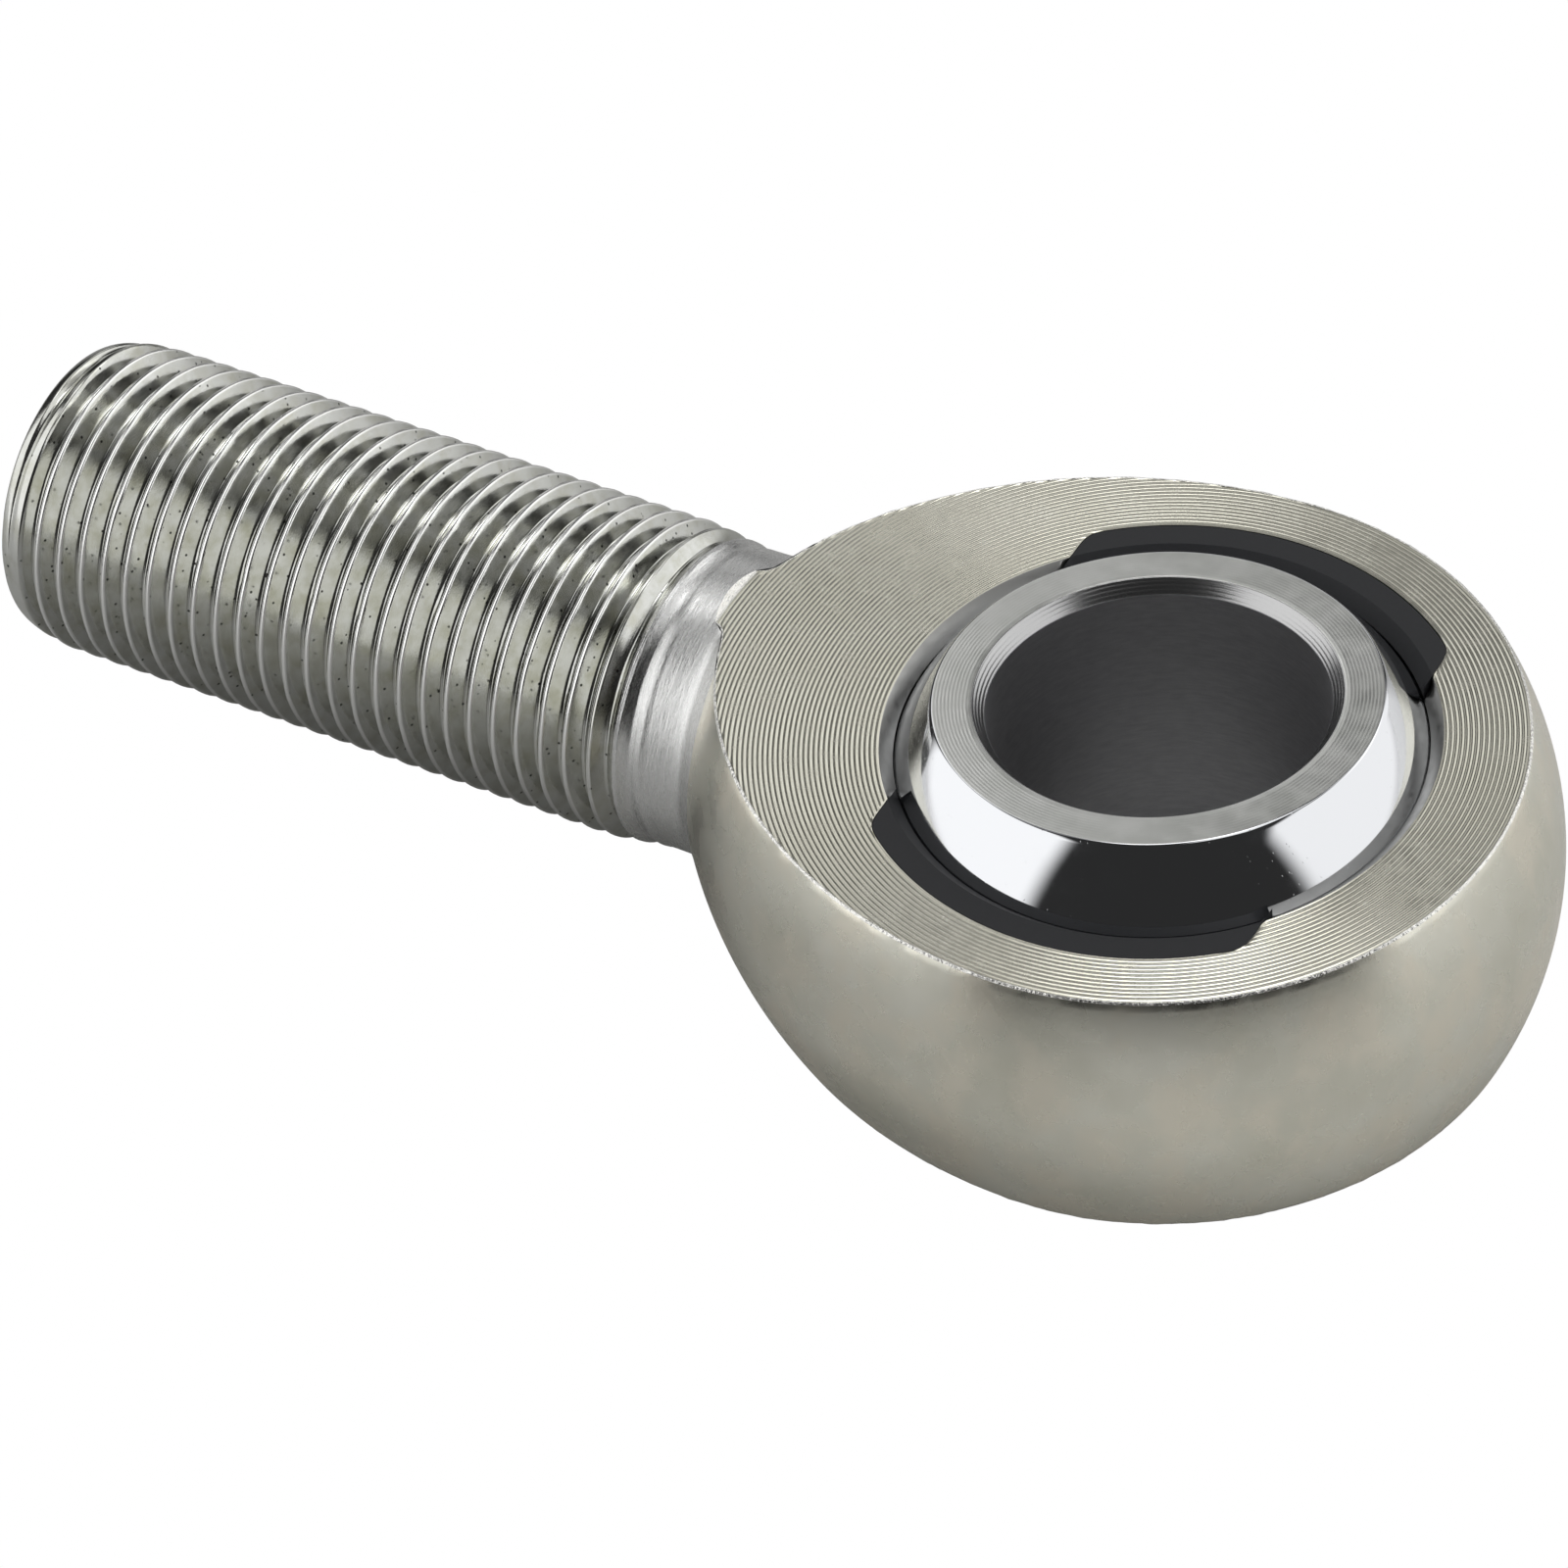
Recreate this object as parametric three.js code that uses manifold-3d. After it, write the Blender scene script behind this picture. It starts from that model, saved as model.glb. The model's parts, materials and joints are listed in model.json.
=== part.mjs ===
// Male spherical rod end, 3/4 inch bore and 3/4-16 UNF left-hand shank, in millimetres.
// Frame: origin at the ball's centre, +Z out of the head's upper face, the shank along -X.
// Three bodies: a turned head and shank, a plastic race moulded into it, and a ball that tilts in the race.

import * as THREE from 'three';
import { mergeVertices } from 'three/addons/utils/BufferGeometryUtils.js';
import Module from 'manifold-3d';

const wasm = await Module();
wasm.setup();

// ---- driving dimensions (mm) ----
const BORE_RADIUS = 9.525;
const BORE_CHAMFER = { radial: 0.63, depth: 0.76 };
const BALL_RADIUS = 16.66;
const BALL_WIDTH = 22.22;
const BALL_LEAN_DEG = { x: -3.3, y: -1.9 }; // how the free ball stands at rest, turned about X and Y

const HEAD_RADIUS = 22.05;
const HEAD_WIDTH = 17.46;
const SHOULDER_RADIUS = 32.5; // arc from the head's widest section back to the neck
const FACING_RADIUS = 27; // both head faces are turned out to here, about the bore axis
const NECK_RADIUS = 8.98;

const SHANK_REACH = 73.03; // ball centre to shank end
const SHANK_ROOT = 20; // ball centre to where the shank ends inside the head
const THREAD_RADIUS = 9.525;
const THREAD_PITCH = 25.4 / 16;
const THREAD_DEPTH = 0.97;
const THREAD_CREST_SHARE = 1 / 8; // crest flat as a share of the pitch
const TIP_RADIUS = 8.7;
const TIP_LENGTH = 2.6;
const TIP_LAND = 0.41; // plain ring before the lead-in
const RUN_OUT = { from: 32.6, to: 28.6 }; // the thread fades into the neck between these distances

const MOUTH_RADIUS = 15.45; // outer edge of the 45 degree mouth chamfer, at the head face
const LIP_RADIUS = 15;
const LIP_BOTTOM = 7.9; // height of the ledge under each lip
const SLOT_RADIUS = 17; // loading slots: the ball's side view, cut down to the centre plane
const SLOT_HALF_WIDTH = 11.4;

const RUNNING_GAP = 0.27; // between ball and race
const PART_GAP = 0.3; // between race and head
const RACE_WALL = 1;
const RACE_INNER = BALL_RADIUS + RUNNING_GAP;
const RACE_OUTER = RACE_INNER + RACE_WALL;
const SEAT_RADIUS = RACE_OUTER + PART_GAP;

// ---- facet counts ----
const HEAD_SIDES = 56;
const BORE_SIDES = 56;
const THREAD_SIDES = 20;
const ARC_STEP = 6; // degrees along a turned arc
const CUT = 5; // how far a cutter runs past what it cuts

const rad = THREE.MathUtils.degToRad;
const deg = THREE.MathUtils.radToDeg;

// ---- solids ----
function solidFrom(geometry) {
  const bare = geometry.clone();
  bare.deleteAttribute('normal');
  bare.deleteAttribute('uv');
  const merged = mergeVertices(bare, 1e-5);
  return new wasm.Manifold(new wasm.Mesh({
    numProp: 3,
    vertProperties: new Float32Array(merged.attributes.position.array),
    triVerts: new Uint32Array(merged.index.array),
  }));
}

function geometryFrom(solid) {
  const mesh = solid.getMesh();
  const geometry = new THREE.BufferGeometry();
  geometry.setAttribute('position', new THREE.BufferAttribute(new Float32Array(mesh.vertProperties), 3));
  geometry.setIndex(new THREE.BufferAttribute(new Uint32Array(mesh.triVerts), 1));
  geometry.computeVertexNormals();
  return geometry;
}

// A turned solid about Z. The profile lists [radius, height] from bottom to top along the outside.
function turned(profile, sides) {
  const points = profile.map(([r, z]) => new THREE.Vector2(r, z));
  return new THREE.LatheGeometry(points, sides).rotateX(Math.PI / 2);
}

// [radius, height] points of an arc about (0, 0), between two angles above the horizontal in degrees.
function arc(radius, from, to, step = ARC_STEP) {
  const count = Math.max(2, Math.ceil(Math.abs(to - from) / step));
  return Array.from({ length: count + 1 }, (_, i) => {
    const angle = rad(from + (to - from) * i / count);
    return [radius * Math.cos(angle), radius * Math.sin(angle)];
  });
}

function latitude(radius, height) {
  return deg(Math.asin(height / radius));
}

// ---- head and shank ----
// Surface of revolution about the shank: a sphere in front, a flatter arc behind that runs into the neck.
function headSolid() {
  const drop = HEAD_RADIUS - NECK_RADIUS + PART_GAP; // the arc's end is buried in the neck
  const end = deg(Math.acos(1 - drop / SHOULDER_RADIUS));
  const shoulder = arc(SHOULDER_RADIUS, -end, 0, 4).map(([r, z]) => [r - SHOULDER_RADIUS + HEAD_RADIUS, z]);
  const front = arc(HEAD_RADIUS, 0, 90).slice(1, -1);
  const profile = [[0, shoulder[0][1]], ...shoulder, ...front, [0, HEAD_RADIUS]];
  return solidFrom(turned(profile, HEAD_SIDES).rotateY(Math.PI / 2));
}

function between(value, low, high) {
  return THREE.MathUtils.clamp((value - low) / (high - low), 0, 1);
}

// Outer radius of the shank at a distance from the ball's centre, along the crests.
function crestRadius(distance) {
  const tip = between(distance, SHANK_REACH, SHANK_REACH - TIP_LENGTH);
  const neck = between(distance, RUN_OUT.to, RUN_OUT.from);
  const threaded = TIP_RADIUS + (THREAD_RADIUS - TIP_RADIUS) * Math.sqrt(tip);
  return NECK_RADIUS + (threaded - NECK_RADIUS) * neck;
}

function grooveDepth(distance) {
  const tip = between(distance, SHANK_REACH, SHANK_REACH - 2 * THREAD_PITCH);
  return THREAD_DEPTH * tip * between(distance, RUN_OUT.to, RUN_OUT.from);
}

// The threaded shank as one skin whose rows follow the left-hand helix: after a turn each row meets the row
// a pitch on.
// Each end of the skin is a ramp one pitch high, closed by a flat ring and a cap.
function shankSolid() {
  const stations = [0, THREAD_CREST_SHARE, (1 + THREAD_CREST_SHARE) / 2];
  const perPitch = stations.length;
  const startX = -SHANK_REACH + TIP_LAND;
  const rows = perPitch * Math.ceil((SHANK_REACH - RUN_OUT.to) / THREAD_PITCH);
  const positions = [];
  const indices = [];
  const add = (x, radius, side) => {
    const angle = -2 * Math.PI * side / THREAD_SIDES;
    positions.push(x, radius * Math.cos(angle), radius * Math.sin(angle));
    return positions.length / 3 - 1;
  };
  const addThread = (row, side) => {
    const pitches = Math.floor(row / perPitch) + stations[row % perPitch] + side / THREAD_SIDES;
    const x = startX + THREAD_PITCH * pitches;
    const groove = row % perPitch === perPitch - 1 ? grooveDepth(-x) : 0;
    return add(x, crestRadius(-x) - groove, side);
  };
  const quad = (a, b, c, d) => indices.push(a, b, c, a, c, d);

  const columns = Array.from({ length: THREAD_SIDES }, (_, side) => {
    const length = rows + 1 + (side === 0 ? perPitch : 0);
    return Array.from({ length }, (_, row) => addThread(row, side));
  });
  const vertex = (row, side) => (side < THREAD_SIDES ? columns[side][row] : columns[0][row + perPitch]);
  for (let row = 0; row < rows; row += 1) {
    for (let side = 0; side < THREAD_SIDES; side += 1) {
      quad(vertex(row, side), vertex(row + 1, side), vertex(row + 1, side + 1), vertex(row, side + 1));
    }
  }

  const close = (row, x, radius, facesHead) => {
    const ring = columns.map((_, side) => add(x, radius, side));
    const centre = add(x, 0, 0);
    const face = (a, b, c) => (facesHead ? indices.push(a, b, c) : indices.push(a, c, b));
    for (let side = 0; side < THREAD_SIDES; side += 1) {
      const next = ring[(side + 1) % THREAD_SIDES];
      face(ring[side], next, vertex(row, side + 1));
      face(ring[side], vertex(row, side + 1), vertex(row, side));
      face(centre, next, ring[side]);
    }
    for (let step = row; step < row + perPitch; step += 1) {
      face(ring[0], columns[0][step], columns[0][step + 1]);
    }
  };
  close(0, -SHANK_REACH, TIP_RADIUS, false);
  close(rows, -SHANK_ROOT, NECK_RADIUS, true);

  const geometry = new THREE.BufferGeometry();
  geometry.setAttribute('position', new THREE.Float32BufferAttribute(positions, 3));
  geometry.setIndex(indices);
  return solidFrom(geometry);
}

// ---- what is cut out of the head ----
// Everything above (side 1) or below (side -1) the head's flat face, out to the facing radius.
function facingCutter(side) {
  const disc = new THREE.CylinderGeometry(FACING_RADIUS, FACING_RADIUS, HEAD_RADIUS, HEAD_SIDES * 2);
  disc.rotateX(Math.PI / 2);
  return solidFrom(disc.translate(0, 0, side * (HEAD_WIDTH + HEAD_RADIUS) / 2));
}

// The 45 degree cone of the upper mouth, as [radius, height] points from the lip outwards.
function mouthCone(innerRadius) {
  const faceHeight = HEAD_WIDTH / 2;
  const outer = MOUTH_RADIUS + CUT;
  return [[innerRadius, faceHeight - MOUTH_RADIUS + innerRadius], [outer, faceHeight + CUT]];
}

// The through hole of the head: a mouth chamfer and a lip at each face, the spherical seat between them.
function seatCutter() {
  const upper = mouthCone(LIP_RADIUS);
  const lower = upper.map(([r, z]) => [r, -z]).reverse();
  const edge = latitude(SEAT_RADIUS, LIP_BOTTOM);
  const profile = [
    [0, lower[0][1]], ...lower, [LIP_RADIUS, -LIP_BOTTOM],
    ...arc(SEAT_RADIUS, -edge, edge),
    [LIP_RADIUS, LIP_BOTTOM], ...upper, [0, upper[1][1]],
  ];
  return solidFrom(turned(profile, BORE_SIDES));
}

// The ball's outline seen from its side, as a prism standing on the centre plane.
function slotPrism(radius, halfWidth, height) {
  const corner = Math.acos(halfWidth / radius);
  const outline = new THREE.Shape();
  outline.absarc(0, 0, radius, corner, Math.PI - corner);
  outline.absarc(0, 0, radius, Math.PI + corner, 2 * Math.PI - corner);
  const options = { depth: height, bevelEnabled: false, curveSegments: 16 };
  return solidFrom(new THREE.ExtrudeGeometry(outline, options));
}

// ---- the three pieces ----
function rodEndBody() {
  return headSolid()
    .add(shankSolid())
    .subtract(facingCutter(1))
    .subtract(facingCutter(-1))
    .subtract(seatCutter())
    .subtract(slotPrism(SLOT_RADIUS, SLOT_HALF_WIDTH, HEAD_WIDTH));
}

// A spherical shell between the lips, with a lobe in each loading slot that ends flush with the upper face.
function mouldedRace() {
  const shellEdge = LIP_BOTTOM - PART_GAP;
  const shell = solidFrom(turned([
    [0, -shellEdge],
    ...arc(RACE_OUTER, -latitude(RACE_OUTER, shellEdge), latitude(RACE_OUTER, shellEdge)),
    [0, shellEdge],
  ], BORE_SIDES));
  const lobes = slotPrism(SLOT_RADIUS - PART_GAP, SLOT_HALF_WIDTH - PART_GAP, HEAD_WIDTH / 2);
  const cone = mouthCone(LIP_RADIUS - 2);
  const mouth = solidFrom(turned([[0, cone[0][1]], ...cone, [0, cone[1][1]]], BORE_SIDES));
  const room = [[0, -RACE_INNER], ...arc(RACE_INNER, -90, 90).slice(1, -1), [0, RACE_INNER]];
  const ballRoom = solidFrom(turned(room, BORE_SIDES));
  return shell.add(lobes).subtract(ballRoom).subtract(mouth);
}

function ballGeometry() {
  const top = BALL_WIDTH / 2;
  const edge = latitude(BALL_RADIUS, top);
  const chamfer = [BORE_RADIUS + BORE_CHAMFER.radial, top];
  const profile = [
    [BORE_RADIUS, -top + BORE_CHAMFER.depth], [chamfer[0], -top],
    ...arc(BALL_RADIUS, -edge, edge),
    chamfer, [BORE_RADIUS, top - BORE_CHAMFER.depth],
    [BORE_RADIUS, -top + BORE_CHAMFER.depth],
  ];
  return turned(profile, BORE_SIDES);
}

function piece(name, geometry, look) {
  const mesh = new THREE.Mesh(geometry, new THREE.MeshStandardMaterial({ name, ...look }));
  mesh.name = name;
  return mesh;
}

const rodEnd = new THREE.Group();
rodEnd.name = 'rod_end_bearing';

const body = piece('rod_end_body', geometryFrom(rodEndBody()),
  { color: 0xa5a396, roughness: 0.38, metalness: 1 });
const race = piece('moulded_race', geometryFrom(mouldedRace()),
  { color: 0x28292b, roughness: 0.6, metalness: 0 });
const ball = piece('ball', ballGeometry(),
  { color: 0xc8c8c8, roughness: 0.08, metalness: 1 });
ball.rotation.set(rad(BALL_LEAN_DEG.x), rad(BALL_LEAN_DEG.y), 0);
rodEnd.add(body, race, ball);

export default rodEnd;
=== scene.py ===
"""Looks of the spherical rod end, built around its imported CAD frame.

Lengths are in millimetres until a mesh is made.
"""

import json
import math

import bmesh
import bpy
import numpy as np
from mathutils import Matrix, Vector


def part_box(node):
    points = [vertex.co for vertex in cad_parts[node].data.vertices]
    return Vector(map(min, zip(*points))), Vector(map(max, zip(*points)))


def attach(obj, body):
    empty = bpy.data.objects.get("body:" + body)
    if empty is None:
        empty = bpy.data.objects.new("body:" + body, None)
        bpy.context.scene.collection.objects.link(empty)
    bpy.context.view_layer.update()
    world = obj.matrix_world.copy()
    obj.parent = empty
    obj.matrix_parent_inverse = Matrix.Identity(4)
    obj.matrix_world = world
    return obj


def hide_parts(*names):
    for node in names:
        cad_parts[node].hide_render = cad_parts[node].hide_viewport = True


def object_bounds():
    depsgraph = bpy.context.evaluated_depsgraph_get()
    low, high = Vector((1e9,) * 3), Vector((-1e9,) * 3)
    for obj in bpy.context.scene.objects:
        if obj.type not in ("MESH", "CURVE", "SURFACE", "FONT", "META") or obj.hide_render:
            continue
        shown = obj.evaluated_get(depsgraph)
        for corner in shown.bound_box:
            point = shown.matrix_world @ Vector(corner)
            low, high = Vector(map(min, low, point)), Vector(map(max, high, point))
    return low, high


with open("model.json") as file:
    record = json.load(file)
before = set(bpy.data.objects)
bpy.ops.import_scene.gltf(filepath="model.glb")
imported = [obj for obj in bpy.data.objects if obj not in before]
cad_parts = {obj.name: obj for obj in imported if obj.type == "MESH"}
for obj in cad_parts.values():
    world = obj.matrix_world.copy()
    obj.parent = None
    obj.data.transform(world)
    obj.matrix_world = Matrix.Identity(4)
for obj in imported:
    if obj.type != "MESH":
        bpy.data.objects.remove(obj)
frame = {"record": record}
cad_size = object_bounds()

MM = 0.001
mounts = {m["name"]: m for m in frame["record"]["mounts"]}
body_low, body_high = (np.array(corner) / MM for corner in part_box("rod_end_body"))

# ---- driving dimensions (mm) ----
REACH = -body_low[0]  # ball centre to shank end
HEAD_R = body_high[0]
THREAD_R = body_high[2]  # the thread stands higher than the head's flat faces
FACE_Z = mounts["head_upper_face"]["pos_m"][2] / MM
BALL_AXIS = Vector(mounts["ball_upper_face"]["axis"])

SHOULDER_R = 32.5  # the flatter arc between the head's widest place and the neck
NECK_R = 8.98
NECK_X = -26.05  # where the shoulder meets the neck
NECK_BLEND = 0.55  # size of the soft fillet between them
SKIN_END = -24.6  # where the shank's skin ends, under the head's
SKIN_DIP = 0.1  # how deep it dips there
DIP_LENGTH = 0.4
RUNOUT_START = 2.5  # plain neck between the shoulder and the first rise of the thread
RUNOUT_LENGTH = 4.0  # over which the thread rises to its full height
BARE_NECK = 4.6  # how far from the shoulder the neck has its own finish
FILLET_END = -22.0  # where the face's outline is the head's own again
FACING_R = 27.0  # how far the facing cut reaches from the bore's axis
PITCH = 25.4 / 16
# One thread: distance along the shank from the crest's middle, and depth below the crest line.
# The rolled crest has a lap seam towards the tip; straight flanks and a flat root follow on both sides.
THREAD_FORM = (
    (-0.79375, 0.97), (-0.68, 0.965), (-0.64, 0.925), (-0.615, 0.885), (-0.59, 0.842),
    (-0.165, 0.1057), (-0.145, 0.071), (-0.125, 0.040), (-0.105, 0.020), (-0.085, 0.014),
    (-0.062, 0.028), (-0.045, 0.034), (-0.02, 0.027), (0.03, 0.012), (0.07, 0.001),
    (0.09, 0.003), (0.11, 0.018), (0.128, 0.043), (0.145, 0.071), (0.165, 0.1057),
    (0.59, 0.842), (0.615, 0.885), (0.64, 0.925), (0.68, 0.965), (0.79375, 0.97),
)
FLANK_ROWS = [-0.48, -0.38, -0.27, 0.27, 0.38, 0.48]  # more rows on the flanks, for the chamfer's cut
CREST_WANDER = 0.03  # how far a crest strays from its helix, in pitches
CREST_X = -54.04  # one crest's place on the shank at CREST_ANGLE
CREST_ANGLE = math.radians(130)
TIP_R = 8.7  # the shank's end face
TIP_LENGTH = 2.6  # the rounded chamfer that cuts the thread there
TIP_BLEND = 0.06  # size of the soft corner between the chamfer and the thread
BALL_R = 16.66
BALL_FACE_Z = 11.11
BALL_SIDES = 320
BORE_R = 9.525
BORE_EDGE = (10.155, 10.335)  # chamfer: radius at the ball's face, height at the bore
MOUTH_R = 15.45
LIP_R = 14.72
LIP_Z = 7.85  # the lip's lower edge
LIP_TOP = FACE_Z - MOUTH_R + LIP_R  # foot of the mouth's 45 degree chamfer
SEAT_R = 18.0
SLOT_R = 17.0  # the round end wall of a loading slot
SLOT_HALF = 11.35  # half its width
SLOT_SHIFT = 0.15  # the slots' middle lies this far towards +X
SLOT_CORNER = 60.0  # how sharply its corners turn
RACE_GAP = 0.06  # between race and ball
RACE_INSET = 0.05  # between race and head
LOBE_SETBACK = 0.02  # of the lobes behind the steel round them
LOBE_FOOT_R = 15.7  # inner edge of a lobe's underside
LOBE_FOOT_Z = 5.9
GROOVE = 0.281  # feed of the facing cut
GROOVE_DEPTH = 0.035
RIM = 0.11  # width of the worn edge round the faces
RIM_DROP = 0.006  # how far a face's edges lie under its highest rings
BURR = 0.02  # how far the edge is turned in and out
WALL_FOOT = 0.1  # how far the foot of the slope across the neck is sunk
OUTLINE_SAMPLES = 400
WELD = 0.0002  # points closer than this are one
SLIVER = 0.0001  # edges shorter than this are dropped


# ---- meshes ----
def grid(rows, cols, wrap=False, shift=0):
    """Quads between neighbouring rows and columns of a row-major grid.

    wrap joins the first column to the last, shift rows further on where the rows follow a helix.
    """
    last = cols if wrap else cols - 1
    r, c = np.meshgrid(np.arange(rows - 1 - shift), np.arange(last), indexing="ij")
    nxt = (c + 1) % cols
    step = np.where(c + 1 == cols, shift, 0)
    a = (r + step) * cols + c
    b = r * cols + nxt
    d = (r + 1 + step) * cols + c
    e = (r + 1) * cols + nxt
    return np.stack([a, b, e, d], -1).reshape(-1, 4)


def mesh_object(name, parts, body, node, materials, sharp):
    """Joins (points, quads, material index) parts into one object that stands for a CAD node.

    It rides on that node's body. Edges that turn by more than sharp degrees stay crisp.
    """
    points = np.concatenate([p for p, _, _ in parts]) * MM
    starts = np.cumsum([0] + [len(p) for p, _, _ in parts[:-1]])
    faces = np.concatenate([f + s for (_, f, _), s in zip(parts, starts)])
    index = np.concatenate([np.full(len(f), m) for _, f, m in parts])
    mesh = bpy.data.meshes.new(name)
    mesh.from_pydata(points.tolist(), [], faces.tolist())
    mesh.polygons.foreach_set("material_index", index.astype(np.int32))
    for material in materials:
        mesh.materials.append(material)
    bm = bmesh.new()
    bm.from_mesh(mesh)
    bmesh.ops.remove_doubles(bm, verts=bm.verts, dist=WELD * MM)
    bmesh.ops.dissolve_degenerate(bm, edges=bm.edges, dist=SLIVER * MM)
    bmesh.ops.recalc_face_normals(bm, faces=bm.faces)
    bm.to_mesh(mesh)
    bm.free()
    mesh.shade_smooth()
    mesh.set_sharp_from_angle(angle=math.radians(sharp))
    made = bpy.data.objects.new(name, mesh)
    bpy.context.collection.objects.link(made)
    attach(made, body)
    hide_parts(node)
    return made


def lathe(profile, sides):
    """Points and quads of a closed loop of (radius, height) turned about Z."""
    profile = np.array(profile, float)
    turn = np.linspace(0, 2 * math.pi, sides, endpoint=False)
    r = profile[:, :1]
    points = np.stack([r * np.cos(turn), r * np.sin(turn), np.repeat(profile[:, 1:], sides, 1)], -1)
    return points.reshape(-1, 3), grid(len(profile), sides, wrap=True)


def arc(radius, low, high, step):
    """(radius, height) points of an arc about the origin, from one angle above the horizontal to another."""
    angles = np.radians(np.linspace(low, high, max(3, int(abs(high - low) / step) + 1)))
    return [(radius * math.cos(a), radius * math.sin(a)) for a in angles]


def around_bore(radius, turns, height):
    """Points in the given directions about the bore's axis."""
    return np.stack(np.broadcast_arrays(radius * np.cos(turns), radius * np.sin(turns), height), -1)


def smooth_noise(count, cell, seed):
    """A closed run of soft random values between -1 and 1, about cell samples per bump."""
    knots = np.random.default_rng(seed).uniform(-1, 1, max(3, count // cell))
    at = np.linspace(0, len(knots), count, endpoint=False)
    low = at.astype(int)
    blend = (1 - np.cos((at - low) * math.pi)) / 2
    return knots[low] * (1 - blend) + knots[(low + 1) % len(knots)] * blend


# ---- head ----
def shoulder(x):
    """Radius of the head about the shank's axis."""
    back = np.maximum(HEAD_R - SHOULDER_R + np.sqrt(np.maximum(SHOULDER_R**2 - x**2, 0)), 0)
    front = np.sqrt(np.maximum(HEAD_R**2 - x**2, 0))
    return np.where(x < 0, back, front)


def outline_radius(turn, z):
    """Distance from the bore's axis to the head's outside at height z, found by halving a range.

    Inside the neck the shoulder closes on itself.
    """
    nearest, farthest, halvings = 12.0, 31.0, 40
    c, s = np.cos(turn), np.sin(turn)
    low, high = np.full(turn.shape, nearest), np.full(turn.shape, farthest)
    for _ in range(halvings):
        mid = (low + high) / 2
        inside = (mid * s) ** 2 + z**2 < shoulder(np.clip(mid * c, -SHOULDER_R, HEAD_R)) ** 2
        low, high = np.where(inside, mid, low), np.where(inside, high, mid)
    return low


def neck_profile(x):
    """Radius about the shank's axis where the neck flows into the shoulder."""
    gap = shoulder(x) - NECK_R
    return NECK_R + (gap + np.sqrt(gap**2 + NECK_BLEND**2)) / 2


def face_radius(turn):
    """The face's outline: the head's own, and round the neck the fillet and the end of the facing cut."""
    x = np.linspace(-FACING_R, FILLET_END, OUTLINE_SAMPLES)
    half = np.sqrt(neck_profile(x) ** 2 - FACE_Z**2)
    bearing = np.arctan2(half, -x)
    off_shank = np.abs(math.pi - turn)
    reach = np.interp(off_shank, bearing, np.hypot(x, half))
    neck = np.minimum(FACING_R, np.where(off_shank < bearing[0], FACING_R, reach))
    return np.where(off_shank < bearing[-1], neck, outline_radius(turn, FACE_Z))


def slot_radius(turn):
    """Distance from the bore's axis to the wall of the loading slots; under LIP_R where there is no slot."""
    c = np.cos(turn)
    side = (SLOT_HALF + SLOT_SHIFT * np.sign(c)) / np.maximum(np.abs(c), 1e-3)
    return (SLOT_R**-SLOT_CORNER + side**-SLOT_CORNER) ** (-1 / SLOT_CORNER)


def outline_turns():
    """Directions about the bore's axis, closer round the neck, with one at each corner of the facing cut."""
    side_count, fillet_count, tail_count = 145, 18, 7
    end = math.asin(math.sqrt(neck_profile(-FACING_R) ** 2 - FACE_Z**2) / FACING_R)
    side = np.linspace(0, math.pi - 3 * end, side_count)
    fillet = math.pi - np.linspace(3 * end, end, fillet_count)[1:]
    tail = np.linspace(math.pi - end, math.pi, tail_count)[1:]
    half = np.concatenate([side, fillet, tail])
    return np.concatenate([half, 2 * math.pi - half[-2:0:-1]])


def face_part(side, turns, rim, with_slots):
    """The turned flat face: scalloped feed marks clipped to the mouth and to the rim."""
    steps = 4
    rings = MOUTH_R + GROOVE / steps * np.arange(int((FACING_R - MOUTH_R) / GROOVE * steps) + 1)
    inner = np.maximum(MOUTH_R, slot_radius(turns)) if with_slots else np.full(turns.shape, MOUTH_R)
    r = np.clip(rings[:, None], inner, rim)
    phase = (r - MOUTH_R) / GROOVE
    height = FACE_Z - GROOVE_DEPTH * (0.5 - 0.5 * np.cos(2 * math.pi * phase))
    height = np.where((r >= rim) | (r <= inner), FACE_Z - RIM_DROP, height)
    points = around_bore(r, turns, side * height)
    return points.reshape(-1, 3), grid(len(rings), len(turns), wrap=True)


def mouth_part(side, turns, with_slots):
    """Mouth chamfer, lip, ledge and half of the seat, or the wall of a slot where one is cut.

    The chamfer's two corners are rounded off by a few hundredths.
    """
    levels = [(MOUTH_R, FACE_Z - 0.01), (MOUTH_R - 0.05, FACE_Z - 0.04)]
    levels += [(LIP_R + 0.04, LIP_TOP + 0.02), (LIP_R, LIP_TOP - 0.03), (LIP_R, LIP_Z)]
    edge = math.degrees(math.asin(LIP_Z / SEAT_R))
    levels += arc(SEAT_R, edge, 0, 3)
    wall = slot_radius(turns) if with_slots else np.zeros(turns.shape)
    rows = [around_bore(np.maximum(r, wall), turns, side * z) for r, z in levels]
    return np.concatenate(rows), grid(len(levels), len(turns), wrap=True)


def belly_part(turns):
    """The outside of the head between its worn rims."""
    row_count = 41
    levels = (FACE_Z - RIM) * np.linspace(-1, 1, row_count)
    rows = [around_bore(outline_radius(turns, abs(z)), turns, z) for z in levels]
    return np.concatenate(rows), grid(len(levels), len(turns), wrap=True)


def rim_rows(side, turns, belly, face):
    """A bright worn edge between the belly's last row and the face's first row, with a ragged burr on it."""
    count = len(turns)
    ragged = smooth_noise(count, 2, 11 + side)
    finer = np.random.default_rng(23 + side).uniform(-1, 1, count)
    burr = BURR * ragged + BURR * finer
    profile = [(belly, FACE_Z - RIM), (face - 0.02 + burr, FACE_Z - 0.02 + 0.5 * burr)]
    profile += [(face - 0.06 + burr, FACE_Z + 0.004 + 0.6 * burr), (face - RIM, FACE_Z - RIM_DROP)]
    rows = [around_bore(r, turns, side * z) for r, z in profile]
    return np.concatenate(rows), grid(len(profile), count, wrap=True)


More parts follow.
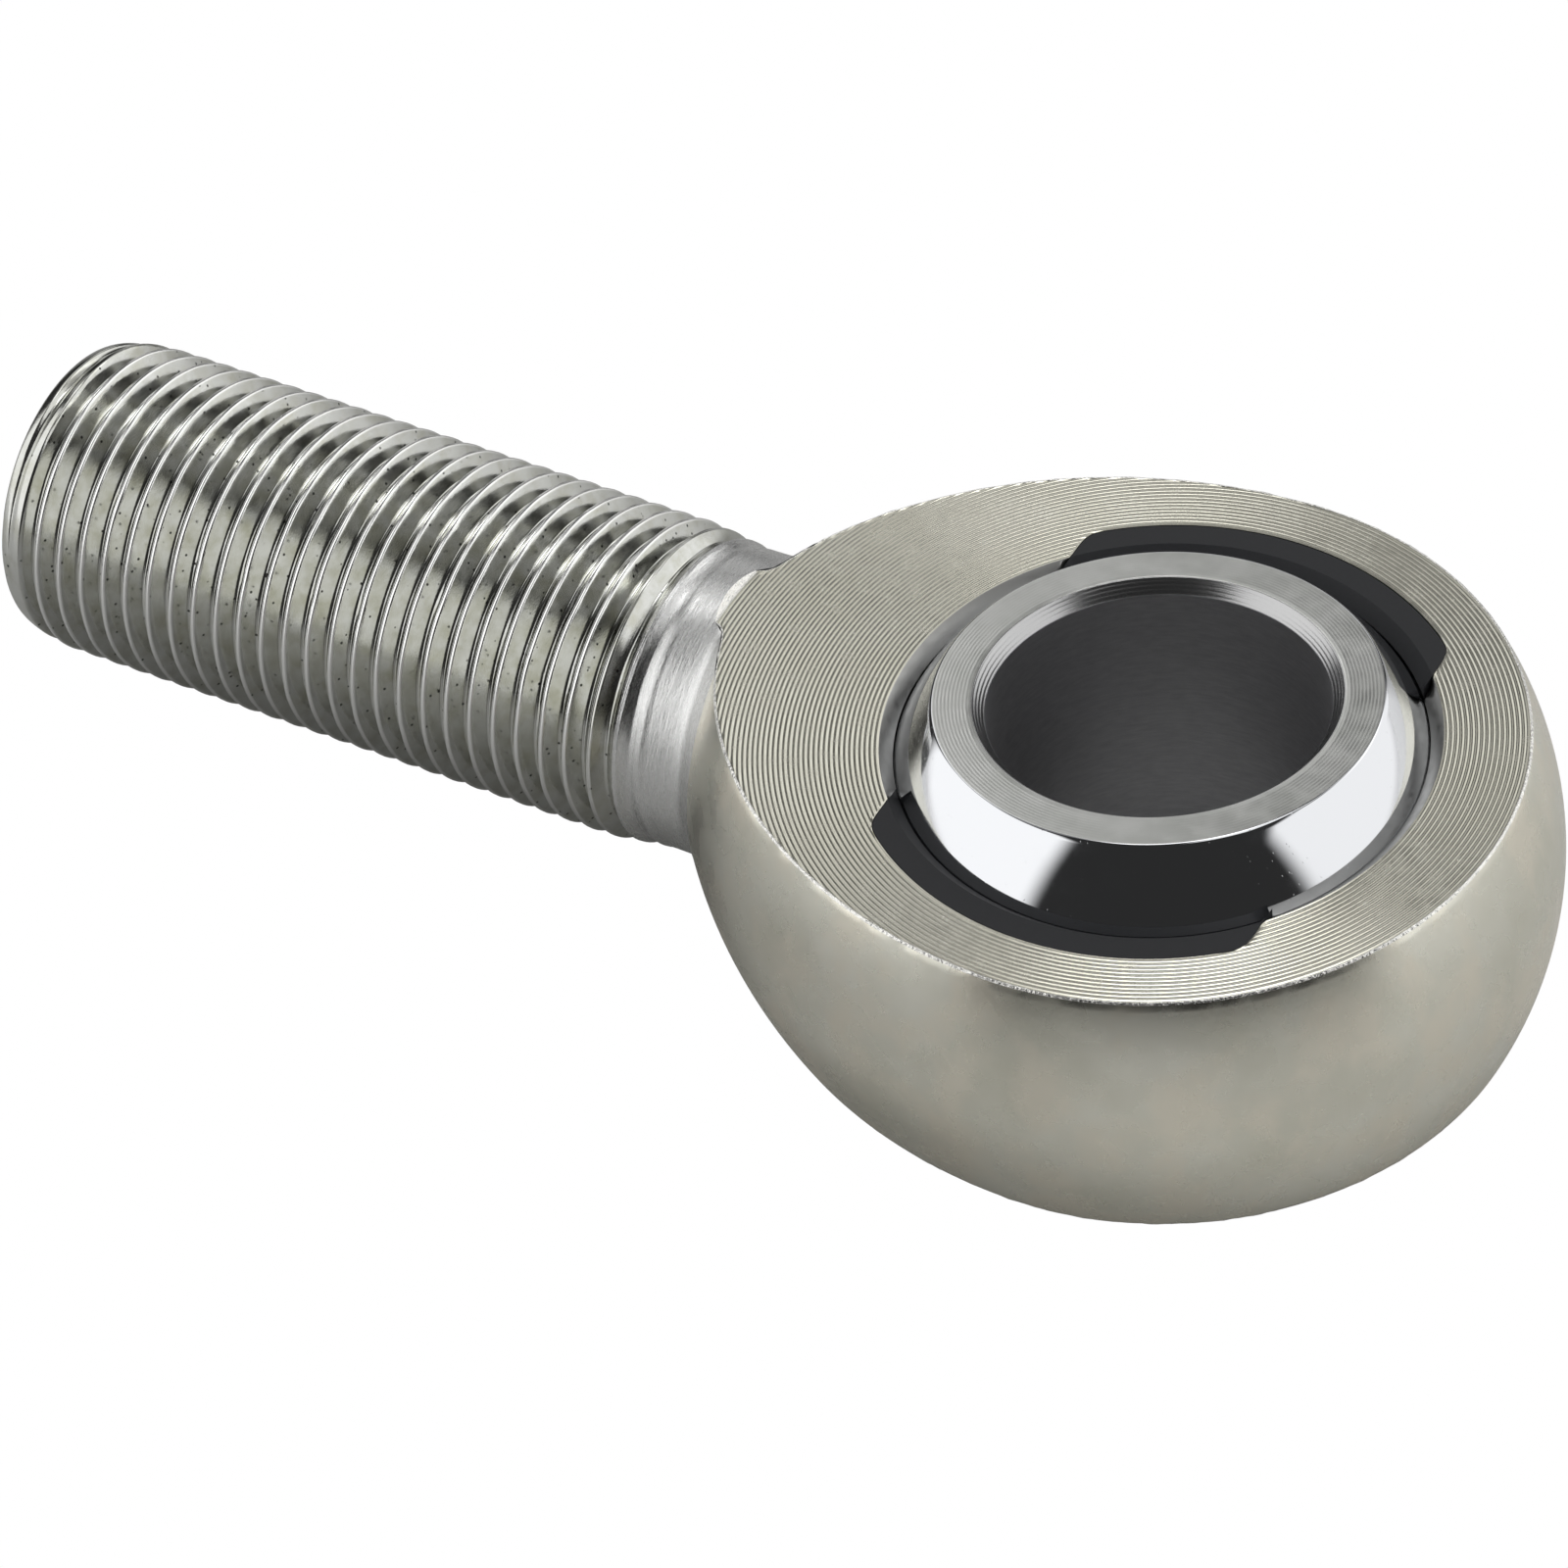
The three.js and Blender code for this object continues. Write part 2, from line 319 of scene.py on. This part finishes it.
# ---- shank ----
def thread_depth(u):
    """Depth below the crest line at a distance u along the shank from the crest's middle."""
    places, depths = zip(*THREAD_FORM)
    return np.interp(u, places, depths)


def shank_radius(x, turns_along):
    """Radius of the shank, from its place along the shank and how many pitches past a crest it is."""
    depth = thread_depth(((turns_along + 0.5) % 1 - 0.5) * PITCH)
    out = np.clip((NECK_X - RUNOUT_START - x) / RUNOUT_LENGTH, 0, 1)
    neck = neck_profile(x) - SKIN_DIP * np.clip((x - SKIN_END + DIP_LENGTH) / DIP_LENGTH, 0, 1)
    full = np.clip((x + REACH) / PITCH, 0, 1)
    thread = neck + (THREAD_R - depth * full - neck) * out
    chamfer = TIP_R + (THREAD_R - TIP_R) * np.sqrt(np.maximum(x + REACH, 0) / TIP_LENGTH)
    return (thread + chamfer - np.hypot(thread - chamfer, TIP_BLEND)) / 2


def shank_angles():
    """Directions about the shank's axis, with one at each corner where the neck meets a face."""
    top_count, side_count = 12, 42
    corner = math.asin(FACE_Z / neck_profile(-FACING_R))
    top = np.linspace(corner, math.pi - corner, top_count, endpoint=False)
    side = np.linspace(math.pi - corner, math.pi + corner, side_count, endpoint=False)
    ring = np.concatenate([top, side, top + math.pi, side + math.pi]) % (2 * math.pi)
    return np.sort(ring)


def skin_ends(angle):
    """Where the shank's skin ends in each direction: at the cut, at a face's outline or under the head."""
    x = np.linspace(NECK_X - 3, SKIN_END, OUTLINE_SAMPLES)
    at_face = np.interp(FACE_Z / np.maximum(np.abs(np.sin(angle)), 0.1), neck_profile(x), x)
    crown = neck_profile(-FACING_R)
    step = np.maximum(crown * np.abs(np.sin(angle)) - FACE_Z, 0)
    at_cut = -np.sqrt((FACING_R + step) ** 2 - (crown * np.cos(angle)) ** 2)
    above = np.abs(np.sin(angle)) * NECK_R > FACE_Z - 0.2
    return np.where(above, np.maximum(at_face, at_cut), at_face)


def shank_part():
    """The threaded skin from the tip to the neck, its rows following the left-hand helix."""
    phases = np.sort([place for place, _ in THREAD_FORM[:-1]] + FLANK_ROWS) / PITCH
    angle = shank_angles()
    slope = (angle - CREST_ANGLE) / (2 * math.pi)
    first = math.floor((-REACH - CREST_X) / PITCH) - 1
    last = math.ceil((NECK_X - CREST_X) / PITCH) + 3
    along = (np.arange(first, last)[:, None] + phases).reshape(-1, 1)
    x = CREST_X + PITCH * (along - slope)
    turn = np.arange(len(along)) // len(phases)
    wander = np.array([smooth_noise(len(angle), 4, 50 + i) ** 3 for i in range(last - first)])
    x = np.clip(x, -REACH, skin_ends(angle))
    r = shank_radius(x, along + CREST_WANDER * wander[turn])
    y, z = r * np.cos(angle), r * np.sin(angle)
    points = np.stack([x, y, z], -1).reshape(-1, 3)
    return points, grid(len(along), len(angle), wrap=True, shift=len(phases))


def neck_wall_parts():
    """The little slope that the facing tool's nose leaves across the neck, on both faces."""
    crown = neck_profile(-FACING_R)
    half = math.sqrt(crown**2 - FACE_Z**2)
    y = np.linspace(-half, half, 25)
    z = np.sqrt(crown**2 - y**2)
    parts = []
    for side in (1, -1):
        top = np.stack([-np.sqrt((FACING_R + z - FACE_Z) ** 2 - y**2), y, side * z], -1)
        foot_z = np.full(len(y), side * (FACE_Z - WALL_FOOT))
        foot = np.stack([-np.sqrt((FACING_R - WALL_FOOT) ** 2 - y**2), y, foot_z], -1)
        parts.append((np.concatenate([top, foot]), grid(2, len(y))))
    return parts


def disc_part(x, radius, angle):
    """A flat round end at x."""
    rings = 10
    r = np.linspace(radius, 0, rings)[:, None]
    points = np.stack([np.full((rings, len(angle)), x), r * np.cos(angle), r * np.sin(angle)], -1)
    return points.reshape(-1, 3), grid(rings, len(angle), wrap=True)


# ---- race ----
def lobe_part(side):
    """The plastic in one loading slot: level with the face, chamfered with the mouth, close over the ball.

    It runs out to nothing at both ends, where the slot's wall meets the lip.
    """
    inner, top = LIP_R + LOBE_SETBACK, FACE_Z - LOBE_SETBACK
    front, back = (math.acos((SLOT_HALF + x) / (inner + RACE_INSET)) for x in (SLOT_SHIFT, -SLOT_SHIFT))
    count = 181
    turns = side * np.linspace(front, math.pi - back, count)
    wall = slot_radius(turns) - RACE_INSET
    loop = [(SLOT_R, FACE_Z - 0.06), (SLOT_R - 0.06, top), (MOUTH_R + LOBE_SETBACK, top)]
    loop += [(inner, LIP_TOP - LOBE_SETBACK), (inner, LIP_Z)]
    loop += [(LOBE_FOOT_R, LOBE_FOOT_Z), (SLOT_R, LOBE_FOOT_Z), loop[0]]
    rows = []
    for r, z in loop:
        radius = np.minimum(r, wall)
        height = np.maximum(z, np.sqrt(np.maximum((BALL_R + RACE_GAP) ** 2 - radius**2, 0)))
        rows.append(around_bore(radius, turns, height))
    return np.concatenate(rows), grid(len(loop), len(turns))


def shell_part():
    """The thin wall of the race between the seat and the ball, a little short of the lips."""
    outer, inner, top = SEAT_R - RACE_INSET, BALL_R + RACE_GAP, LIP_Z - 0.2
    outer_end, inner_end = (math.degrees(math.asin(top / radius)) for radius in (outer, inner))
    profile = arc(outer, -outer_end, outer_end, 3) + arc(inner, inner_end, -inner_end, 3)
    sides = 160
    return lathe(profile + [profile[0]], sides)


# ---- ball ----
def ball_parts():
    """The polished sphere, its two turned ends, their chamfers and the bore."""
    edge = math.degrees(math.asin(BALL_FACE_Z / BALL_R)) - 0.3
    face_r = math.sqrt(BALL_R**2 - BALL_FACE_Z**2)
    sphere = arc(BALL_R, -edge, edge, 0.75)
    corner = [sphere[-1], (face_r - 0.015, BALL_FACE_Z - 0.012), (face_r - 0.07, BALL_FACE_Z)]
    face = [corner[-1]] + [(r, BALL_FACE_Z) for r in np.linspace(face_r - 0.2, BORE_EDGE[0] + 0.06, 8)]
    chamfer = [face[-1], (BORE_EDGE[0] + 0.01, BALL_FACE_Z - 0.02), (BORE_R + 0.03, BORE_EDGE[1] + 0.03)]
    bore = [chamfer[-1], (BORE_R, BORE_EDGE[1] - 0.02)]
    inside = [(BORE_R, z) for z in np.linspace(BORE_EDGE[1] - 0.02, -BORE_EDGE[1] + 0.02, 24)]
    upper = [(corner, 0), (face, 1), (chamfer, 2), (bore + inside[1:], 3)]
    parts = [(*lathe(sphere, BALL_SIDES), 0)]
    for profile, material in upper:
        parts.append((*lathe(profile, BALL_SIDES), material))
    for profile, material in upper[:3] + [(bore, 3)]:
        parts.append((*lathe([(r, -z) for r, z in profile], BALL_SIDES), material))
    return parts


# ---- materials ----
class Look:
    """A Principled material with a few procedural layers on the piece's own coordinates, in millimetres."""

    def __init__(self, name, colour, roughness, metallic):
        self.material = bpy.data.materials.new(name)
        self.material.use_nodes = True
        self.tree = self.material.node_tree
        self.shader = self.tree.nodes["Principled BSDF"]
        self.shader.inputs["Base Color"].default_value = (*colour, 1)
        self.shader.inputs["Roughness"].default_value = roughness
        self.shader.inputs["Metallic"].default_value = metallic
        coordinates = self.node("ShaderNodeTexCoord")
        self.place = self.node("ShaderNodeVectorMath", operation="SCALE")
        self.place.inputs["Scale"].default_value = 1 / MM
        self.link(coordinates.outputs["Object"], self.place.inputs[0])
        self.normal = None

    def node(self, kind, **settings):
        made = self.tree.nodes.new(kind)
        for key, value in settings.items():
            setattr(made, key, value)
        return made

    def link(self, source, target):
        self.tree.links.new(source, target)

    def noise(self, scale, detail, stretch=(1, 1, 1), roughness=0.5):
        mapping = self.node("ShaderNodeMapping")
        mapping.inputs["Scale"].default_value = stretch
        self.link(self.place.outputs[0], mapping.inputs["Vector"])
        made = self.node("ShaderNodeTexNoise")
        made.inputs["Scale"].default_value = scale
        made.inputs["Detail"].default_value = detail
        made.inputs["Roughness"].default_value = roughness
        self.link(mapping.outputs[0], made.inputs["Vector"])
        return made.outputs["Fac"]

    def rings(self, spacing, start=0.0, wobble=0.0):
        """Waves round the bore's axis: 0 at the start radius and each spacing from it, 1 halfway between."""
        made = self.node("ShaderNodeTexWave", wave_type="RINGS", rings_direction="Z")
        made.inputs["Scale"].default_value = 2 * math.pi / (20 * spacing)
        made.inputs["Distortion"].default_value = wobble
        made.inputs["Detail"].default_value = 1.0
        made.inputs["Phase Offset"].default_value = -2 * math.pi * (start / spacing % 1)
        self.link(self.place.outputs[0], made.inputs["Vector"])
        return made.outputs["Fac"]

    def ramp(self, source, low, high, values):
        made = self.node("ShaderNodeMapRange")
        made.inputs["From Min"].default_value = low
        made.inputs["From Max"].default_value = high
        made.inputs["To Min"].default_value = values[0]
        made.inputs["To Max"].default_value = values[1]
        self.link(source, made.inputs["Value"])
        return made.outputs["Result"]

    def off_shank_axis(self, low, high):
        """0 within one distance from the shank's axis, 1 beyond the other."""
        across = self.node("ShaderNodeVectorMath", operation="MULTIPLY")
        across.inputs[1].default_value = (0, 1, 1)
        self.link(self.place.outputs[0], across.inputs[0])
        length = self.node("ShaderNodeVectorMath", operation="LENGTH")
        self.link(across.outputs[0], length.inputs[0])
        return self.ramp(length.outputs["Value"], low, high, (0, 1))

    def pits(self, scale, size):
        """Sparse small spots: 1 in a spot, 0 elsewhere."""
        cells = self.node("ShaderNodeTexVoronoi")
        cells.inputs["Scale"].default_value = scale
        self.link(self.place.outputs[0], cells.inputs["Vector"])
        spot = self.ramp(cells.outputs["Distance"], size, size * 1.6, (1, 0))
        chosen = self.ramp(cells.outputs["Color"], 0.5, 0.55, (0, 1))
        both = self.node("ShaderNodeMath", operation="MULTIPLY")
        self.link(spot, both.inputs[0])
        self.link(chosen, both.inputs[1])
        return both.outputs[0]

    def mix_colour(self, factor, first, second):
        made = self.node("ShaderNodeMix", data_type="RGBA")
        for value, socket in ((first, made.inputs[6]), (second, made.inputs[7])):
            if isinstance(value, tuple):
                socket.default_value = (*value, 1)
            else:
                self.link(value, socket)
        self.link(factor, made.inputs["Factor"])
        return made.outputs[2]

    def colour(self, source):
        self.link(source, self.shader.inputs["Base Color"])

    def roughness(self, source):
        self.link(source, self.shader.inputs["Roughness"])

    def bump(self, height, strength, distance):
        made = self.node("ShaderNodeBump")
        made.inputs["Strength"].default_value = strength
        made.inputs["Distance"].default_value = distance * MM
        self.link(height, made.inputs["Height"])
        if self.normal:
            self.link(self.normal, made.inputs["Normal"])
        self.normal = made.outputs["Normal"]
        self.link(self.normal, self.shader.inputs["Normal"])


STEEL = (0.78, 0.768, 0.68)
STEEL_DARK = (0.70, 0.685, 0.585)
STEEL_WARM = (0.79, 0.75, 0.64)
GROOVE_STEEL = (0.5, 0.485, 0.4)
MOUTH_STEEL = (0.34, 0.34, 0.33)
EDGE_STEEL = (0.9, 0.89, 0.85)
FLANK_STEEL = (0.65, 0.655, 0.625)
FLANK_STAIN = (0.53, 0.53, 0.465)
CREST_STEEL = (0.9, 0.9, 0.88)
PIT_COLOUR = (0.06, 0.06, 0.055)
RUBBED_R = (9.4, 9.46)  # where the flanks' finish gives way to the crests'
NECK_STEEL = (0.76, 0.76, 0.75)
PLASTIC = (0.018, 0.019, 0.022)
CHROME = (0.74, 0.75, 0.77)
BALL_FACE_DARK = (0.64, 0.65, 0.62)
BALL_FACE_LIGHT = (0.72, 0.725, 0.70)
BALL_CHAMFER = (0.5, 0.5, 0.5)
BORE_DARK = (0.46, 0.46, 0.475)
BORE_LIGHT = (0.56, 0.56, 0.57)
FLOOR_WHITE = (0.92, 0.92, 0.91)


def belly_steel():
    """Satin plating, blotched and warmer in places."""
    look = Look("plated_steel_satin", STEEL, 0.3, 1)
    blotch = look.ramp(look.noise(0.16, 3), 0.35, 0.68, (0, 1))
    warm = look.ramp(look.noise(0.25, 4, stretch=(1, 1.3, 0.8)), 0.45, 0.62, (0, 1))
    base = look.mix_colour(blotch, STEEL, STEEL_DARK)
    look.colour(look.mix_colour(warm, base, STEEL_WARM))
    look.roughness(look.ramp(look.noise(0.5, 4), 0.3, 0.7, (0.22, 0.34)))
    look.bump(look.noise(5, 3, stretch=(1, 1, 0.1)), 0.35, 0.014)
    look.bump(look.noise(1.3, 4), 0.3, 0.02)
    return look.material


def face_steel():
    """The same plating on the turned faces, darker in the feed grooves."""
    look = Look("plated_steel_turned", STEEL, 0.3, 1)
    blotch = look.ramp(look.noise(0.12, 2), 0.35, 0.68, (0.4, 1))
    base = look.mix_colour(blotch, STEEL, STEEL_DARK)
    groove = look.ramp(look.rings(GROOVE, start=MOUTH_R), 0.2, 1, (0, 0.28))
    look.colour(look.mix_colour(groove, base, GROOVE_STEEL))
    look.roughness(look.ramp(look.noise(1.2, 4), 0.3, 0.7, (0.2, 0.28)))
    look.bump(look.noise(2, 2), 0.1, 0.01)
    return look.material


def mouth_steel():
    """Dark turned metal round the ball."""
    look = Look("turned_mouth", MOUTH_STEEL, 0.34, 1)
    look.roughness(look.ramp(look.noise(1.5, 3), 0.3, 0.7, (0.28, 0.42)))
    look.bump(look.noise(6, 3), 0.15, 0.01)
    return look.material


def rim_steel():
    """Bright, ragged edges."""
    look = Look("plated_steel_worn_edge", EDGE_STEEL, 0.22, 1)
    look.bump(look.noise(4, 3, roughness=0.6), 1.0, 0.12)
    return look.material


def thread_steel():
    """Dull, stained and pitted flanks with bright rubbed crests."""
    look = Look("plated_steel_rolled", FLANK_STEEL, 0.16, 1)
    stain = look.ramp(look.noise(0.7, 4, roughness=0.6), 0.42, 0.7, (0, 1))
    flank = look.mix_colour(stain, FLANK_STEEL, FLANK_STAIN)
    flank = look.mix_colour(look.pits(1.7, 0.11), flank, PIT_COLOUR)
    look.colour(look.mix_colour(look.off_shank_axis(*RUBBED_R), flank, CREST_STEEL))
    look.roughness(look.ramp(look.noise(1.0, 4), 0.3, 0.7, (0.1, 0.2)))
    look.bump(look.noise(5, 4), 0.15, 0.012)
    look.bump(look.noise(11, 2), 0.3, 0.01)
    return look.material


def neck_steel():
    """Bright metal scuffed round the shank."""
    look = Look("scuffed_neck", NECK_STEEL, 0.2, 1)
    scuff = look.noise(2.2, 5, stretch=(2.5, 0.35, 0.35), roughness=0.7)
    look.roughness(look.ramp(scuff, 0.3, 0.7, (0.14, 0.38)))
    look.bump(scuff, 0.7, 0.06)
    return look.material


def black_plastic():
    """Matt plastic with a fine grain."""
    look = Look("black_moulded_plastic", PLASTIC, 0.6, 0)
    look.bump(look.noise(3, 4), 0.4, 0.03)
    return look.material


def chrome():
    """A polished sphere with hazy patches and a few specks."""
    look = Look("polished_chrome", CHROME, 0.07, 1)
    look.roughness(look.ramp(look.noise(0.5, 5, roughness=0.65), 0.45, 0.75, (0.05, 0.13)))
    look.bump(look.noise(0.6, 2), 0.05, 0.01)
    look.bump(look.pits(2.6, 0.08), 0.2, 0.015)
    return look.material


def ball_face_steel():
    """Cloudy metal with faint turning rings."""
    look = Look("turned_ball_face", BALL_FACE_DARK, 0.34, 1)
    cloud = look.ramp(look.noise(0.5, 2), 0.35, 0.65, (0, 1))
    look.colour(look.mix_colour(cloud, BALL_FACE_DARK, BALL_FACE_LIGHT))
    look.roughness(look.ramp(look.noise(0.8, 2), 0.3, 0.7, (0.28, 0.38)))
    look.bump(look.rings(0.2, wobble=1.0), 0.35, 0.01)
    look.bump(look.noise(8, 3), 0.1, 0.01)
    return look.material


def ball_chamfer_steel():
    """Stronger turning rings on the bore's chamfers."""
    look = Look("turned_ball_chamfer", BALL_CHAMFER, 0.25, 1)
    look.bump(look.rings(0.16, wobble=0.5), 0.5, 0.02)
    return look.material


def bore_steel():
    """Dull metal with fine hone marks that run round the bore."""
    look = Look("honed_bore", BORE_DARK, 0.42, 1)
    hone = look.ramp(look.noise(2.2, 5, stretch=(0.4, 0.4, 2.5), roughness=0.7), 0.3, 0.7, (0, 1))
    look.colour(look.mix_colour(hone, BORE_DARK, BORE_LIGHT))
    look.bump(look.noise(8, 3, stretch=(0.35, 0.35, 2.5)), 0.3, 0.01)
    return look.material


# ---- the object ----
def build_head():
    """Belly, and on both sides the turned face, its worn rim and the mouth."""
    turns = outline_turns()
    belly, face = outline_radius(turns, FACE_Z - RIM), face_radius(turns)
    parts = [(*belly_part(turns), 0)]
    for side, with_slots in ((1, True), (-1, False)):
        parts.append((*face_part(side, turns, face - RIM, with_slots), 1))
        parts.append((*mouth_part(side, turns, with_slots), 3))
        parts.append((*rim_rows(side, turns, belly, face), 2))
    looks = [belly_steel(), face_steel(), rim_steel(), mouth_steel()]
    mesh_object("head", parts, "head_and_shank", "rod_end_body", looks, sharp=35)


def build_shank():
    """Thread, scuffed neck, end face and the two slopes across the neck."""
    points, quads = shank_part()
    on_neck = points[quads[:, 0], 0] > NECK_X - BARE_NECK
    parts = [(points, quads[~on_neck], 0), (points, quads[on_neck], 1)]
    parts.append((*disc_part(-REACH, shank_radius(-REACH, 0), shank_angles()), 1))
    parts += [(*part, 2) for part in neck_wall_parts()]
    looks = [thread_steel(), neck_steel(), rim_steel()]
    mesh_object("threaded_shank", parts, "head_and_shank", "rod_end_body", looks, sharp=50)


def build_race():
    """Two lobes and the shell between them."""
    parts = [(*lobe_part(1), 0), (*lobe_part(-1), 0), (*shell_part(), 0)]
    mesh_object("race", parts, "head_and_shank", "moulded_race", [black_plastic()], sharp=30)


def build_ball():
    """Made upright, then tilted to the axis that the record gives it."""
    looks = [chrome(), ball_face_steel(), ball_chamfer_steel(), bore_steel()]
    ball = mesh_object("bored_ball", ball_parts(), "bored_ball", "ball", looks, sharp=25)
    ball.matrix_world = Vector((0, 0, 1)).rotation_difference(BALL_AXIS).to_matrix().to_4x4()


# ---- studio ----
def floor_paper():
    """A white satin sheet, greyer under the shank where shade is painted on it for the metal to mirror,
    shown to the camera as clean white.
    """
    look = Look("pale_floor", FLOOR_WHITE, 0.22, 0)
    place = look.node("ShaderNodeSeparateXYZ")
    look.link(look.place.outputs[0], place.inputs[0])
    # painted shade: the floor turns up to 40 % black under the shank and fades out towards the head. It
    # stands in for the shank's shadow as the metal mirrors it.
    painted_shade_under_shank = look.ramp(place.outputs["X"], -40, 15, (0.4, 0))
    look.colour(look.mix_colour(painted_shade_under_shank, FLOOR_WHITE, (0, 0, 0)))
    white = look.node("ShaderNodeEmission")
    white.inputs["Strength"].default_value = 1.0
    seen = look.node("ShaderNodeLightPath")
    mix = look.node("ShaderNodeMixShader")
    look.link(seen.outputs["Is Camera Ray"], mix.inputs["Fac"])
    look.link(look.shader.outputs[0], mix.inputs[1])
    look.link(white.outputs[0], mix.inputs[2])
    look.link(mix.outputs[0], look.tree.nodes["Material Output"].inputs["Surface"])
    return look.material


def build_floor():
    """A large square, in metres, level with the part's lowest point."""
    low = cad_size[0][2]
    half = 3.0
    corners = [(-half, -half, low), (half, -half, low), (half, half, low), (-half, half, low)]
    mesh = bpy.data.meshes.new("floor")
    mesh.from_pydata(corners, [], [(0, 1, 2, 3)])
    floor = bpy.data.objects.new("floor", mesh)
    bpy.context.collection.objects.link(floor)
    mesh.materials.append(floor_paper())


def aim(thing, towards):
    """Turns a lamp so that it shines towards a point."""
    thing.rotation_euler = (Vector(towards) - thing.location).to_track_quat("-Z", "Y").to_euler()


def soft_edges(light, share):
    """Fades a rectangular light towards its edges, as a diffuser does; share is the faded part of a half."""
    light.use_nodes = True
    tree = light.node_tree
    emission = tree.nodes["Emission"]
    place = tree.nodes.new("ShaderNodeNewGeometry")
    split = tree.nodes.new("ShaderNodeSeparateXYZ")
    tree.links.new(place.outputs["Parametric"], split.inputs[0])
    product = tree.nodes.new("ShaderNodeMath")
    product.operation = "MULTIPLY"
    for index in (0, 1):
        middle = tree.nodes.new("ShaderNodeMath")
        middle.operation = "PINGPONG"
        middle.inputs[1].default_value = 0.5
        tree.links.new(split.outputs[index], middle.inputs[0])
        fade = tree.nodes.new("ShaderNodeMapRange")
        fade.interpolation_type = "SMOOTHSTEP"
        fade.inputs["From Max"].default_value = share / 2
        tree.links.new(middle.outputs[0], fade.inputs["Value"])
        tree.links.new(fade.outputs["Result"], product.inputs[index])
    tree.links.new(product.outputs[0], emission.inputs["Strength"])


def softbox(name, azimuth, elevation, distance, width, height, radiance, fade=0.3):
    """A rectangular area light that faces the part.

    Its angles are in degrees and its sizes in metres. radiance is how bright its surface is before it fades.
    """
    a, e = math.radians(azimuth), math.radians(elevation)
    light = bpy.data.lights.new(name, "AREA")
    light.shape = "RECTANGLE"
    light.size, light.size_y = width, height
    light.energy = radiance * width * height * math.pi
    soft_edges(light, fade)
    lamp = bpy.data.objects.new(name, light)
    lamp.location = distance * Vector((math.cos(e) * math.cos(a), math.cos(e) * math.sin(a), math.sin(e)))
    aim(lamp, (0, 0, lamp.location.z / 2))
    bpy.context.collection.objects.link(lamp)


def build_lights():
    """Two large boxes at the sides, and smaller ones above and behind."""
    softbox("left", -151, 27, 0.7, 1.14, 0.84, 1.22)
    softbox("right", 36, 24, 0.7, 1.42, 0.74, 1.1)
    softbox("high_left", 166, 60, 0.9, 0.7, 0.6, 0.3, fade=0.6)
    softbox("high_right", 20, 70, 0.9, 0.7, 0.5, 1.1)
    softbox("back", 138, 40, 0.9, 0.62, 0.6, 1.2, fade=0.8)
    softbox("back_low", 113, 18, 0.9, 0.66, 0.42, 0.6)
    softbox("back_high", 112, 72, 0.9, 0.45, 0.4, 3.1, fade=0.5)
    softbox("back_right", 72, 42, 0.9, 0.8, 0.6, 0.6, fade=0.5)


def build_world():
    """Almost black all round, so that only the lights show in the metal, but white behind the floor."""
    world = bpy.data.worlds.new("studio")
    world.use_nodes = True
    tree = world.node_tree
    seen = tree.nodes.new("ShaderNodeLightPath")
    strength = tree.nodes.new("ShaderNodeMapRange")
    strength.inputs["To Min"].default_value = 0.03
    strength.inputs["To Max"].default_value = 1.0
    tree.links.new(seen.outputs["Is Camera Ray"], strength.inputs["Value"])
    tree.nodes["Background"].inputs["Color"].default_value = (1, 1, 1, 1)
    tree.links.new(strength.outputs["Result"], tree.nodes["Background"].inputs["Strength"])
    bpy.context.scene.world = world


def use_plain_tones():
    """Shows radiance as it is, so a white floor stays white."""
    bpy.context.scene.view_settings.view_transform = "Standard"


CAMERA_TARGET = (-19.77, -7.85, 3.82)
CAMERA_ANGLES = (-55.618, 44.277, -6.805)  # azimuth, elevation and roll, in degrees
CAMERA_DISTANCE = 359.44
CAMERA_LENS = 148.03


def build_camera():
    """Looks down across the head from beside it, with the horizon tilted."""
    azimuth, elevation, roll = (math.radians(v) for v in CAMERA_ANGLES)
    level = math.cos(elevation)
    back = Vector((level * math.cos(azimuth), level * math.sin(azimuth), math.sin(elevation)))
    right = Vector((-math.sin(azimuth), math.cos(azimuth), 0))
    rotation = Matrix((right, back.cross(right), back)).transposed() @ Matrix.Rotation(roll, 3, "Z")
    data = bpy.data.cameras.new("camera")
    data.sensor_width = 36
    data.lens = CAMERA_LENS
    data.clip_start = 0.01
    camera = bpy.data.objects.new("camera", data)
    place = Vector(CAMERA_TARGET) * MM + back * (CAMERA_DISTANCE * MM)
    camera.matrix_world = Matrix.Translation(place) @ rotation.to_4x4()
    bpy.context.collection.objects.link(camera)
    bpy.context.scene.camera = camera


build_head()
build_shank()
build_race()
build_ball()
build_floor()
build_lights()
build_world()
use_plain_tones()
build_camera()
